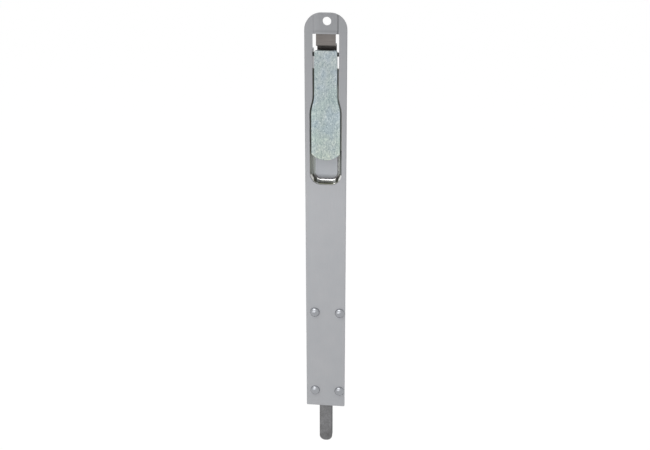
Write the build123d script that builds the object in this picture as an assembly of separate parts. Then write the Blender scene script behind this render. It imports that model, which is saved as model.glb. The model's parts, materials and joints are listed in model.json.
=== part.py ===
"""Surface bolt with a folding lever: a grey plate, a lever let into it, and a flat bolt.

Frame: +Z points up along the plate and the viewer faces the front from -Y. The origin is the
centre of the plate's back face, which seats on the door. All sizes are millimetres.
"""
from build123d import *
from math import cos, hypot, radians, sin
import os

# Plate
plate_width = 30.0
plate_length = 310.0
plate_thickness = 2.0
top_corner_radius = 11.8
lower_corner_radius = 0.8
plate_edge_break = 0.3

# Raised band over the spring's root, and the top screw hole
band_half_width = 8.2
band_rise = 0.6
band_slope_width = 0.8
screw_hole_radius = 3.0
screw_hole_side = 0.9
screw_hole_down = 5.6

# Lever face: one outline, narrow at the pivot and wide at the finger end
lever_thickness = 2.0
lever_top_down = 26.3
lever_end_down = 106.2
lever_top_half_width = 8.05
lever_neck_half_width = 8.25
lever_grip_half_width = 10.4
lever_end_arc_rise = 4.8
lever_end_corner_radius = 1.2
lever_corner_radius = 1.1
lever_edge_break = 0.35
shoulder_start_down = 58.0
shoulder_end_down = 72.0

# Window in the plate, which follows the lever with a gap
window_top_down = 14.5
window_neck_gap = 1.15
window_grip_gap = 1.2
window_top_radius = 0.8
window_end_down = 124.9
window_end_radius = 8.2

# Pressed cup behind the window
cup_sheet = 1.0
cup_depth = 4.0
cup_wall_run = 2.4
cup_top_down = 39.6
cup_rim_width = 2.2
cup_trimmed_height = 6.0
cup_notch_side_clearance = 0.5
cup_notch_end_gap = 1.1
cup_notch_corner_radius = 2.0
cup_screw_down = 92.0
cup_screw_radius = 2.75

# Pivot, crank and link: equal crank and link keep the bolt on a straight line
pivot_down = 29.7
pivot_depth = 3.0
crank_length = 20.0
link_length = crank_length
lever_swing = 78.0

# Pins and their fits
pivot_pin_radius = 1.5
link_pin_radius = 1.5
link_pin_overhang = 0.3
link_pin_edge_break = 0.25
running_clearance = 0.06
press_clearance = 0.01
rivet_clearance = 0.05

# Crank bracket on the lever's back
cheek_outer = 6.0
cheek_thickness = 1.6
bracket_web = 1.2
pivot_cheek_radius = 3.3
crank_cheek_radius = 2.75
bracket_top_gap = 1.0
bracket_web_gap = 0.5

# Links and the spacers between them
link_side_clearance = 0.3
link_plate_thickness = 1.7
link_eye_clearance = 0.25
link_waist_half_width = 1.8
spacer_wall = 0.8
spacer_end_clearance = 0.1

# Pivot lugs
lug_thickness = 1.6
lug_edge_margin = 1.2
lug_depth = 9.0
lug_above_pivot = 3.9
lug_cup_gap = 0.3
lug_skirt_reach = 3.0
lug_skirt_clearance = 0.4
lug_corner_radius = 2.5
lug_foot_corner_radius = 1.0
lug_foot_gap = 0.4
pin_head_radius = 2.6
pin_head_height = 0.8
pin_head_round = 0.56

# Leaf spring
leaf_thickness = 0.9
leaf_half_width = 6.95
leaf_end_wall = 0.5
leaf_step_clearance = 0.3
leaf_heel_clearance = 0.4
leaf_tail_below_pivot = 2.2
leaf_bend_radius = 0.2
leaf_pocket_clearance = 0.1
leaf_pocket_play = 0.05
leaf_screw_clearance = 0.5

# Bolt bar
bolt_width = 10.0
bolt_thickness = 6.0
bolt_length = 148.5
bolt_projection = 33.5
bolt_tip_radius = 4.4
bolt_edge_break = 0.5
bolt_plate_clearance = 0.15

# Drive strap
strap_thickness = 2.5
strap_half_width = 6.0
strap_lap = 22.0
strap_lug_clearance = 0.3
strap_top_above_pin = 4.0
strap_corner_radius = 1.2
strap_slot_side_clearance = 0.55
strap_rivet_radius = 1.6
strap_rivet_head_radius = 2.8
strap_rivet_head_height = 1.1
strap_rivet_head_sink = 0.05
strap_rivet_inset = 6.0

# Guide blocks for the bolt and the dome rivets that hold them
guide_length = 18.0
guide_back_wall = 1.6
guide_side_clearance = 0.2
guide_back_clearance = 0.15
guide_edge_margin = 1.2
guide_corner_radius = 1.5
guide_edge_break = 0.5
guide_strap_gap = 2.1
lower_row_up = 13.8
rivet_spacing = 19.1
rivet_side = 1.3
rivet_shank_radius = 1.6
rivet_head_radius = 3.7
rivet_head_height = 2.5
rivet_tail_radius = 2.4
rivet_tail_height = 1.0

# Share of a dome head's height that is a straight rim
dome_rim_share = 0.2

# How far a cut runs past the faces that it goes through
cut_past = 1.0

# Levels worked out from the sizes above
top_z = plate_length / 2
front_y = -plate_thickness
pivot_z = top_z - pivot_down
crank_z = pivot_z - crank_length
strap_pin_z = crank_z - link_length
bolt_travel = 2 * crank_length * (1 - cos(radians(lever_swing)))
bolt_front_y = bolt_plate_clearance
bolt_back_y = bolt_front_y + bolt_thickness
strap_back_y = bolt_back_y + strap_thickness
bolt_tip_z = -top_z - bolt_projection
bolt_top_z = bolt_tip_z + bolt_length
strap_lower_z = bolt_top_z - strap_lap
upper_row_z = strap_lower_z - guide_strap_gap - guide_length / 2
lower_row_z = -top_z + lower_row_up
cheek_inner = cheek_outer - cheek_thickness
link_outer = cheek_inner - link_side_clearance
link_eye_radius = min(pivot_depth, bolt_back_y - pivot_depth) - link_eye_clearance
strap_lug_radius = pivot_depth - strap_lug_clearance
window_neck_half_width = lever_neck_half_width + window_neck_gap
window_grip_half_width = lever_grip_half_width + window_grip_gap
cup_floor_y = cup_depth
cup_back_y = cup_floor_y + cup_sheet
lug_inner = window_neck_half_width
lug_outer = lug_inner + lug_thickness
lug_lower_z = top_z - cup_top_down + lug_cup_gap
lug_skirt_y = cup_back_y * (cup_sheet + lug_skirt_clearance) / cup_wall_run
leaf_screw_radius = screw_hole_radius + leaf_screw_clearance
leaf_top_z = top_z - screw_hole_down + leaf_screw_radius + leaf_end_wall
leaf_pocket_depth = leaf_thickness + leaf_pocket_play
guide_slot_back_y = bolt_back_y + guide_back_clearance
guide_back_y = guide_slot_back_y + guide_back_wall

# The lever's top end turns about the pivot: its front corner sweeps under the spring's step, and
# at the end of the swing its back corner comes nearest to the spring's tail
lever_heel_height = pivot_down - lever_top_down
lever_heel_sweep = hypot(lever_heel_height, pivot_depth + lever_thickness)
lever_heel_reach = lever_heel_height * sin(radians(lever_swing)) - pivot_depth * cos(radians(lever_swing))
leaf_step_z = pivot_z + lever_heel_sweep + leaf_step_clearance
leaf_tail_y = pivot_depth + max(pivot_cheek_radius, lever_heel_reach) + leaf_heel_clearance


def level(down):
    """Height of a point that lies the given distance below the plate's top end."""
    return top_z - down


def slab(outline, y_front, y_back):
    """Extrude a closed outline drawn in X and Z from one depth to another."""
    face = Plane.XZ * make_face(outline)
    return Pos(0, y_back, 0) * extrude(face, amount=y_back - y_front)


def block(x0, x1, y0, y1, z0, z1):
    """Box between two corners."""
    size = (x1 - x0, y1 - y0, z1 - z0)
    centre = ((x0 + x1) / 2, (y0 + y1) / 2, (z0 + z1) / 2)
    return Pos(*centre) * Box(*size)


def rod_x(x0, x1, radius, y, z):
    """Round bar along X."""
    return Pos((x0 + x1) / 2, y, z) * Rot(0, 90, 0) * Cylinder(radius, x1 - x0)


def rod_y(y0, y1, radius, x, z):
    """Round bar along Y."""
    return Pos(x, (y0 + y1) / 2, z) * Rot(90, 0, 0) * Cylinder(radius, y1 - y0)


def side_profile(points, x0, x1):
    """Extrude an outline given as (y, z) points from x0 to x1."""
    wire = Polyline([(x0, y, z) for y, z in points], close=True)
    return extrude(make_face(wire), amount=x1 - x0, dir=(1, 0, 0))


def bottle_outline(top_down, top_half, neck_half, grip_half, end_down, inset=0.0):
    """Straight neck, a smooth shoulder and a straight grip, as the two sides of an outline.

    Returns the right side from the top to where the grip ends, and its mirror image.
    """
    neck = neck_half - inset
    grip = grip_half - inset
    top = top_half - inset
    middle = (shoulder_start_down + shoulder_end_down) / 2
    start = (neck, level(shoulder_start_down))
    finish = (grip, level(shoulder_end_down))
    waist = ((neck + grip) / 2, level(middle))
    right = [
        Line((top, level(top_down)), start),
        TangentArc(start, waist, tangent=(0, -1)),
        TangentArc(finish, waist, tangent=(0, 1)),
        Line(finish, (grip, level(end_down))),
    ]
    left = [edge.mirror(Plane.YZ) for edge in right]
    return right, left


def window_outline(inset=0.0, top_down=window_top_down):
    """Outline of the window, or of the cup's wall at a given inset from it."""
    radius = window_end_radius - inset
    grip = window_grip_half_width - inset
    bottom = level(window_end_down) + inset
    right, left = bottle_outline(
        top_down,
        window_neck_half_width,
        window_neck_half_width,
        window_grip_half_width,
        window_end_down - window_end_radius,
        inset,
    )
    flat = grip - radius
    corner = ThreePointArc(
        (grip, bottom + radius),
        (flat + radius * sin(radians(45)), bottom + radius * (1 - cos(radians(45)))),
        (flat, bottom),
    )
    top_half = window_neck_half_width - inset
    ends = [
        corner,
        corner.mirror(Plane.YZ),
        Line((flat, bottom), (-flat, bottom)),
        Line((-top_half, level(top_down)), (top_half, level(top_down))),
    ]
    return Wire(right + left + ends)


def lever_outline():
    """Outline of the lever's face, with its shallow round end."""
    side_end = lever_end_down - lever_end_arc_rise
    right, left = bottle_outline(
        lever_top_down,
        lever_top_half_width,
        lever_neck_half_width,
        lever_grip_half_width,
        side_end,
    )
    end = ThreePointArc(
        (-lever_grip_half_width, level(side_end)),
        (0, level(lever_end_down)),
        (lever_grip_half_width, level(side_end)),
    )
    top = Line(
        (-lever_top_half_width, level(lever_top_down)),
        (lever_top_half_width, level(lever_top_down)),
    )
    return Wire(right + left + [end, top])


def plate_blank(y_front, y_back):
    """Plate outline with its round top corners and small lower corners."""
    half = plate_width / 2
    body = block(-half, half, y_front, y_back, -top_z, top_z)
    upright = body.edges().filter_by(Axis.Y)
    body = fillet(upright.group_by(Axis.Z)[-1], top_corner_radius)
    return fillet(body.edges().filter_by(Axis.Y).group_by(Axis.Z)[0], lower_corner_radius)


def rivet_places():
    """Centres of the four dome rivets as (x, z)."""
    sides = (rivet_side - rivet_spacing / 2, rivet_side + rivet_spacing / 2)
    return [(x, z) for z in (upper_row_z, lower_row_z) for x in sides]


def raised_band():
    """Sloped-sided rise over the spring's root, from the window to the plate's top end."""
    foot = band_half_width + band_slope_width
    z0 = level(window_top_down)
    points = [
        (-foot, front_y),
        (-band_half_width, front_y - band_rise),
        (band_half_width, front_y - band_rise),
        (foot, front_y),
    ]
    section = make_face(Polyline([(x, y, z0) for x, y in points], close=True))
    rise = extrude(section, amount=window_top_down, dir=(0, 0, 1))
    return rise & plate_blank(front_y - band_rise, front_y)


def make_plate():
    """Front plate with the window, the top screw hole and the rivet holes."""
    body = plate_blank(front_y, 0)
    body = chamfer(body.faces().sort_by(Axis.Y)[0].outer_wire().edges(), plate_edge_break)
    body += raised_band()
    band_y = front_y - band_rise
    window = slab(window_outline(), band_y - cut_past, cut_past)
    corners = window.edges().filter_by(Axis.Y).group_by(Axis.Z)[-1]
    body -= fillet(corners, window_top_radius)
    pocket_half = leaf_half_width + leaf_pocket_clearance
    pocket_top = leaf_top_z + leaf_pocket_clearance
    pocket_end = level(window_top_down) - cut_past
    body -= block(-pocket_half, pocket_half, -leaf_pocket_depth, cut_past, pocket_end, pocket_top)
    body -= rod_y(band_y - cut_past, cut_past, screw_hole_radius, screw_hole_side, level(screw_hole_down))
    for x, z in rivet_places():
        body -= rod_y(front_y - cut_past, cut_past, rivet_shank_radius + rivet_clearance, x, z)
    return body


def cup_outline(inset):
    """Outline of the cup at an inset from the window, before its top end is trimmed off."""
    return window_outline(inset, cup_top_down - cup_trimmed_height)


def cup_loft(inset_front, y_front, inset_back, y_back):
    """Straight-sided loft between two insets of the window's outline."""
    front = Plane.XZ * cup_outline(inset_front)
    back = Plane.XZ * cup_outline(inset_back)
    return Solid.make_loft([Pos(0, y_front, 0) * front, Pos(0, y_back, 0) * back], ruled=True)


def make_recess_cup():
    """Pressed cup: rim, sloping wall and floor, open at its top end, notched for the link."""
    shell = cup_loft(-cup_sheet, 0, cup_wall_run - cup_sheet, cup_back_y)
    rim = slab(cup_outline(-cup_rim_width), 0, cup_sheet)
    hollow = cup_loft(0, 0, cup_wall_run, cup_floor_y)
    body = shell + rim - hollow
    wide = plate_width
    cut_back = cup_back_y + cut_past
    body -= block(-wide, wide, -cut_past, cut_back, level(cup_top_down), top_z)
    notch_half = cheek_outer + link_pin_overhang + cup_notch_side_clearance
    notch_end = strap_pin_z - strap_lug_radius - cup_notch_end_gap
    notch = block(-notch_half, notch_half, -cut_past, cut_back, notch_end, top_z)
    body -= fillet(notch.edges().filter_by(Axis.Y).group_by(Axis.Z)[0], cup_notch_corner_radius)
    return body - rod_y(0, cut_back, cup_screw_radius, 0, level(cup_screw_down))


def make_pivot_lug(side):
    """Angle bracket: a foot on the plate's back and an ear that carries the pivot pin.

    Behind the cup's sloping wall the ear reaches further down, as a skirt.
    """
    ear = block(lug_inner, lug_outer, 0, lug_depth, lug_lower_z, pivot_z + lug_above_pivot)
    skirt_end = lug_lower_z - lug_skirt_reach
    ear += block(lug_inner, lug_outer, lug_skirt_y, lug_depth, skirt_end, lug_lower_z)
    rear = ear.edges().filter_by(Axis.X).group_by(Axis.Y)[-1]
    ear = fillet(rear, lug_corner_radius)
    foot_top = pivot_z - pin_head_radius - lug_foot_gap
    foot_end = plate_width / 2 - lug_edge_margin
    foot = block(lug_outer, foot_end, 0, lug_thickness, lug_lower_z, foot_top)
    corner = min(lug_foot_corner_radius, (foot_top - lug_lower_z) / 3)
    foot = fillet(foot.edges().filter_by(Axis.Y).group_by(Axis.X)[-1], corner)
    body = ear + foot
    body -= rod_x(0, plate_width, pivot_pin_radius + press_clearance, pivot_depth, pivot_z)
    return body if side > 0 else mirror(body, Plane.YZ)


def make_pivot_pin():
    """Pin across both lugs with a riveted head at each end."""
    body = rod_x(-lug_outer, lug_outer, pivot_pin_radius, pivot_depth, pivot_z)
    for side in (-1, 1):
        face = side * lug_outer
        tip = side * (lug_outer + pin_head_height)
        head = rod_x(min(face, tip), max(face, tip), pin_head_radius, pivot_depth, pivot_z)
        rim = head.edges().group_by(Axis.X)[-1 if side > 0 else 0]
        body += fillet(rim, pin_head_round)
    return body


def make_leaf_spring():
    """Flat spring: root behind the band, a step back over the pivot, a tail behind the lever's heel."""
    front = -leaf_thickness - leaf_pocket_play / 2
    back = front + leaf_thickness
    step = leaf_step_z
    tail_front = leaf_tail_y
    tail_back = tail_front + leaf_thickness
    tail_end = pivot_z - leaf_tail_below_pivot
    points = [
        (front, leaf_top_z),
        (back, leaf_top_z),
        (back, step + leaf_thickness),
        (tail_back, step + leaf_thickness),
        (tail_back, tail_end),
        (tail_front, tail_end),
        (tail_front, step),
        (front, step),
    ]
    body = side_profile(points, -leaf_half_width, leaf_half_width)
    inside = [(back, step + leaf_thickness), (tail_front, step)]
    outside = [(front, step), (tail_back, step + leaf_thickness)]
    body = fillet(edges_at(body, inside), leaf_bend_radius)
    body = fillet(edges_at(body, outside), leaf_bend_radius + leaf_thickness)
    screw_z = level(screw_hole_down)
    return body - rod_y(front - cut_past, back + cut_past, leaf_screw_radius, screw_hole_side, screw_z)


def edges_at(body, corners):
    """Edges along X that pass through one of the given (y, z) corners."""
    found = []
    for edge in body.edges().filter_by(Axis.X):
        centre = edge.center()
        for y, z in corners:
            if abs(centre.Y - y) < 1e-3 and abs(centre.Z - z) < 1e-3:
                found.append(edge)
    return found


def make_lever():
    """Lever face with rounded corners at both ends and softened front edges."""
    body = slab(lever_outline(), -lever_thickness, 0)
    body = fillet(body.edges().filter_by(Axis.Y).group_by(Axis.Z)[-1], lever_corner_radius)
    body = fillet(body.edges().filter_by(Axis.Y).group_by(Axis.Z)[0], lever_end_corner_radius)
    rim = body.faces().sort_by(Axis.Y)[0].outer_wire().edges()
    return chamfer(rim, lever_edge_break)


def make_crank_bracket():
    """Bracket on the lever's back: two cheeks with the pivot and crank holes, and a web."""
    cheek = rod_x(cheek_inner, cheek_outer, pivot_cheek_radius, pivot_depth, pivot_z)
    cheek += rod_x(cheek_inner, cheek_outer, crank_cheek_radius, pivot_depth, crank_z)
    half = crank_cheek_radius
    cheek += block(cheek_inner, cheek_outer, pivot_depth - half, pivot_depth + half, crank_z, pivot_z)
    web_end = crank_z + link_eye_radius + bracket_web_gap
    web_top = level(lever_top_down) - bracket_top_gap
    cheek += block(cheek_inner, cheek_outer, 0, pivot_depth, crank_z, web_top)
    pair = cheek + mirror(cheek, Plane.YZ)
    pair += block(-cheek_outer, cheek_outer, 0, bracket_web, web_end, web_top)
    pair -= block(-cheek_outer, cheek_outer, -pivot_cheek_radius, 0, crank_z, level(0))
    pivot_hole = pivot_pin_radius + running_clearance
    pair -= rod_x(-plate_width, plate_width, pivot_hole, pivot_depth, pivot_z)
    crank_hole = link_pin_radius + press_clearance
    return pair - rod_x(-plate_width, plate_width, crank_hole, pivot_depth, crank_z)


def make_link_pin(z):
    """Headless pin through a pair of cheeks, with a small bevel at each end."""
    reach = cheek_outer + link_pin_overhang
    body = rod_x(-reach, reach, link_pin_radius, pivot_depth, z)
    return chamfer(body.edges().filter_by(GeomType.CIRCLE), link_pin_edge_break)


def make_link(side):
    """Stamped link plate: an eye at each end and a narrower waist."""
    x0 = link_outer - link_plate_thickness
    body = rod_x(x0, link_outer, link_eye_radius, pivot_depth, crank_z)
    body += rod_x(x0, link_outer, link_eye_radius, pivot_depth, strap_pin_z)
    waist = link_waist_half_width
    body += block(x0, link_outer, pivot_depth - waist, pivot_depth + waist, strap_pin_z, crank_z)
    hole = link_pin_radius + running_clearance
    for z in (crank_z, strap_pin_z):
        body -= rod_x(0, plate_width, hole, pivot_depth, z)
    return body if side > 0 else mirror(body, Plane.YZ)


def make_spacer(z):
    """Tube on a link pin that keeps the two link plates apart."""
    reach = link_outer - link_plate_thickness - spacer_end_clearance
    hole = link_pin_radius + running_clearance
    outside = rod_x(-reach, reach, hole + spacer_wall, pivot_depth, z)
    return outside - rod_x(-plate_width, plate_width, hole, pivot_depth, z)


def strap_rivet_levels():
    """Heights of the two rivets through the strap's lap on the bolt."""
    return [bolt_top_z - strap_rivet_inset, strap_lower_z + strap_rivet_inset]


def make_drive_strap():
    """Flat strap from the link to the bolt, with a clevis at its top and a slot for the screw."""
    top = strap_pin_z + strap_top_above_pin
    body = block(-strap_half_width, strap_half_width, bolt_back_y, strap_back_y, strap_lower_z, top)
    body = fillet(body.edges().filter_by(Axis.Y), strap_corner_radius)
    ear = rod_x(cheek_inner, cheek_outer, strap_lug_radius, pivot_depth, strap_pin_z)
    low = strap_pin_z - strap_lug_radius
    high = strap_pin_z + strap_lug_radius
    ear += block(cheek_inner, cheek_outer, pivot_depth, bolt_back_y, low, high)
    body += ear + mirror(ear, Plane.YZ)
    hole = link_pin_radius + press_clearance
    body -= rod_x(-plate_width, plate_width, hole, pivot_depth, strap_pin_z)
    half = cup_screw_radius + strap_slot_side_clearance
    screw_z = level(cup_screw_down)
    cut_back = strap_back_y + cut_past
    slot = block(-half, half, 0, cut_back, screw_z - bolt_travel, screw_z)
    for z in (screw_z, screw_z - bolt_travel):
        slot += rod_y(0, cut_back, half, 0, z)
    body -= slot
    for z in strap_rivet_levels():
        body -= rod_y(0, cut_back, strap_rivet_radius + rivet_clearance, 0, z)
    return body


def make_bolt_bar():
    """Flat bar with a round tip and softened long edges."""
    half = bolt_width / 2
    body = block(-half, half, bolt_front_y, bolt_back_y, bolt_tip_z, bolt_top_z)
    body = fillet(body.edges().filter_by(Axis.Y).group_by(Axis.Z)[0], bolt_tip_radius)
    front_rim = body.faces().sort_by(Axis.Y)[0].outer_wire().edges()
    back_rim = body.faces().sort_by(Axis.Y)[-1].outer_wire().edges()
    body = chamfer(front_rim + back_rim, bolt_edge_break)
    for z in strap_rivet_levels():
        body -= rod_y(0, bolt_back_y + cut_past, strap_rivet_radius + rivet_clearance, 0, z)
        body -= rod_y(0, bolt_front_y + strap_rivet_head_height, strap_rivet_head_radius, 0, z)
    return body


def make_strap_rivets():
    """Two rivets: a sunk head in the bolt's front and a dome on the strap's back."""
    rivets = []
    for z in strap_rivet_levels():
        head_front = bolt_front_y + strap_rivet_head_sink
        head_back = bolt_front_y + strap_rivet_head_height
        body = rod_y(head_front, head_back, strap_rivet_head_radius - rivet_clearance, 0, z)
        body += rod_y(head_back, strap_back_y, strap_rivet_radius, 0, z)
        body += dome(strap_rivet_head_radius, strap_rivet_head_height, strap_back_y, 1, 0, z)
        rivets.append(body)
    return Compound(children=rivets)


def dome(radius, height, y, direction, x, z):
    """Round-topped head standing on a face at depth y, with a low straight rim."""
    rim = height * dome_rim_share
    cap_height = height - rim
    sphere_radius = (radius**2 + cap_height**2) / (2 * cap_height)
    outline = [
        Line((0, 0), (radius, 0)),
        Line((radius, 0), (radius, rim)),
        RadiusArc((radius, rim), (0, height), -sphere_radius),
        Line((0, height), (0, 0)),
    ]
    head = revolve(make_face(outline), Axis.Y, 360)
    turn = Rot(0, 0, 0) if direction > 0 else Rot(180, 0, 0)
    return Pos(x, y, z) * turn * head


def make_guide(row):
    """Guide block with a slot for the bolt and two holes for its rivets, centred on a rivet row."""
    half = bolt_width / 2 + guide_side_clearance
    edge = plate_width / 2 - guide_edge_margin
    z0 = row - guide_length / 2
    z1 = row + guide_length / 2
    body = block(-edge, edge, 0, guide_back_y, z0, z1)
    body = fillet(body.edges().filter_by(Axis.Y), guide_corner_radius)
    body = chamfer(body.faces().sort_by(Axis.Y)[-1].outer_wire().edges(), guide_edge_break)
    body -= block(-half, half, -cut_past, guide_slot_back_y, z0 - cut_past, z1 + cut_past)
    for x, z in rivet_places():
        body -= rod_y(-cut_past, guide_back_y + cut_past, rivet_shank_radius + rivet_clearance, x, z)
    return body


def make_guide_rivets():
    """Four rivets with a dome on the plate's front and a flat tail behind the guide blocks."""
    rivets = []
    for x, z in rivet_places():
        body = rod_y(front_y, guide_back_y, rivet_shank_radius, x, z)
        body += dome(rivet_head_radius, rivet_head_height, front_y, -1, x, z)
        tail = rod_y(guide_back_y, guide_back_y + rivet_tail_height, rivet_tail_radius, x, z)
        body += tail
        rivets.append(body)
    return Compound(children=rivets)


def main():
    """Build every piece and write one STEP file for each."""
    pieces = {
        "plate": make_plate(),
        "recess_cup": make_recess_cup(),
        "pivot_lug_left": make_pivot_lug(-1),
        "pivot_lug_right": make_pivot_lug(1),
        "pivot_pin": make_pivot_pin(),
        "leaf_spring": make_leaf_spring(),
        "upper_guide": make_guide(upper_row_z),
        "lower_guide": make_guide(lower_row_z),
        "guide_rivets": make_guide_rivets(),
        "lever": make_lever(),
        "crank_bracket": make_crank_bracket(),
        "crank_pin": make_link_pin(crank_z),
        "link_left": make_link(-1),
        "link_right": make_link(1),
        "crank_spacer": make_spacer(crank_z),
        "strap_spacer": make_spacer(strap_pin_z),
        "strap_pin": make_link_pin(strap_pin_z),
        "drive_strap": make_drive_strap(),
        "bolt_bar": make_bolt_bar(),
        "strap_rivets": make_strap_rivets(),
    }
    os.makedirs("parts", exist_ok=True)
    for name, shape in pieces.items():
        export_step(shape, f"parts/{name}.step")


main()
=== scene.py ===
"""Surface bolt with a folding lever: finishes, dressed pieces, studio and camera.

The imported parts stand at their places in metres. +Z runs up the plate, the front faces -Y and
+X lies to the right of someone who faces the front. The finishes come first, then a class for
each sub-assembly, and last the studio and the camera.
"""

from __future__ import annotations

import json
import logging
import math
from abc import ABC, abstractmethod
from collections.abc import Iterable
from dataclasses import dataclass, field
from enum import Enum
from functools import reduce
from typing import Any

import bmesh
import bpy
import numpy as np
from mathutils import Matrix, Vector, geometry

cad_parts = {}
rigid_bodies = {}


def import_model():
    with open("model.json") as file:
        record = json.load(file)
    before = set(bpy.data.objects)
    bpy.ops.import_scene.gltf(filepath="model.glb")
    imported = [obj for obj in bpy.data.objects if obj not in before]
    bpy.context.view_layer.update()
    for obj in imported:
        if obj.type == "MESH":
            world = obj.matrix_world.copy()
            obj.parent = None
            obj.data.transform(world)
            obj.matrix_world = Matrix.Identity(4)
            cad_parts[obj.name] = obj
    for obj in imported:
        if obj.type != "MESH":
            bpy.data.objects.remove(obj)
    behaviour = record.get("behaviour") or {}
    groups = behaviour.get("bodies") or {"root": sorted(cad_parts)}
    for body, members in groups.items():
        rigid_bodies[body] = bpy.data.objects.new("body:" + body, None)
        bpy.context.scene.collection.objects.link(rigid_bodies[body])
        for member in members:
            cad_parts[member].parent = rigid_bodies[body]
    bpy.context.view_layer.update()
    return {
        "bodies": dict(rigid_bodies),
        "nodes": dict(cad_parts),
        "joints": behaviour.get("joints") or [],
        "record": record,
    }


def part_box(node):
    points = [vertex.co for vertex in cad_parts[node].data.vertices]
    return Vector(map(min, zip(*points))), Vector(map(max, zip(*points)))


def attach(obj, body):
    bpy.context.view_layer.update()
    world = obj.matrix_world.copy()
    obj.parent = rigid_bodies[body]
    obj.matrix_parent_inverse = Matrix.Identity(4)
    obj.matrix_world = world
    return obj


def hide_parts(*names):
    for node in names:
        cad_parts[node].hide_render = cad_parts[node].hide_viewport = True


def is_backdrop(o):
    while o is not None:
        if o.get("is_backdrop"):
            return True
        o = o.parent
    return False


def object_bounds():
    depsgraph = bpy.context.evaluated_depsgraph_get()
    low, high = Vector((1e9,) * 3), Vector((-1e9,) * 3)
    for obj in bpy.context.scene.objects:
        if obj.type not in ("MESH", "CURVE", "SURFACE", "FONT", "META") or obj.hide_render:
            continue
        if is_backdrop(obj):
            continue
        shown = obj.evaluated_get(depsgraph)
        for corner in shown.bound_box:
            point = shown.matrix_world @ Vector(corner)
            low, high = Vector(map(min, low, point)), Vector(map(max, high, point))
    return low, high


MM = 0.001
MERGE = 0.001 * MM
SEAM_MERGE = 0.002 * MM
FLAT_ANGLE = math.radians(0.5)
SHARP_DEGREES = 30.0
NOISE_LOW, NOISE_HIGH = 0.3, 0.7
LOG = logging.getLogger("surface_bolt")

Colour = tuple[float, float, float]
Socket = bpy.types.NodeSocket
Pattern = tuple[Socket, Socket, Socket]


class Body(Enum):
    """The rigid bodies of the bolt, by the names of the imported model."""

    FRAME = "frame"
    HANDLE = "handle"
    LINK = "link"
    BOLT = "bolt"


class Grain(Enum):
    """How a finish's fine pattern lies on the surface, as its scale along X, Y and Z."""

    EVEN = (1.0, 1.0, 1.0)
    STREAKY = (1.0, 1.0, 0.45)
    ALONG = (1.0, 1.0, 0.05)
    ACROSS = (0.05, 1.0, 1.0)


class Axis(Enum):
    """The axes of the object, by the names of the shader's outputs."""

    SIDE = "X"
    DEPTH = "Y"
    HEIGHT = "Z"


def linear(red: int, green: int, blue: int) -> Colour:
    """Turn a display colour of 0 to 255 into the linear colour that shaders take.

    Args:
        red: Red of the display colour.
        green: Green of the display colour.
        blue: Blue of the display colour.

    Returns:
        The same colour in linear light, by the usual display curve.
    """
    shares = (c / 255 for c in (red, green, blue))
    return tuple(s / 12.92 if s <= 0.04045 else ((s + 0.055) / 1.055) ** 2.4 for s in shares)


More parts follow.
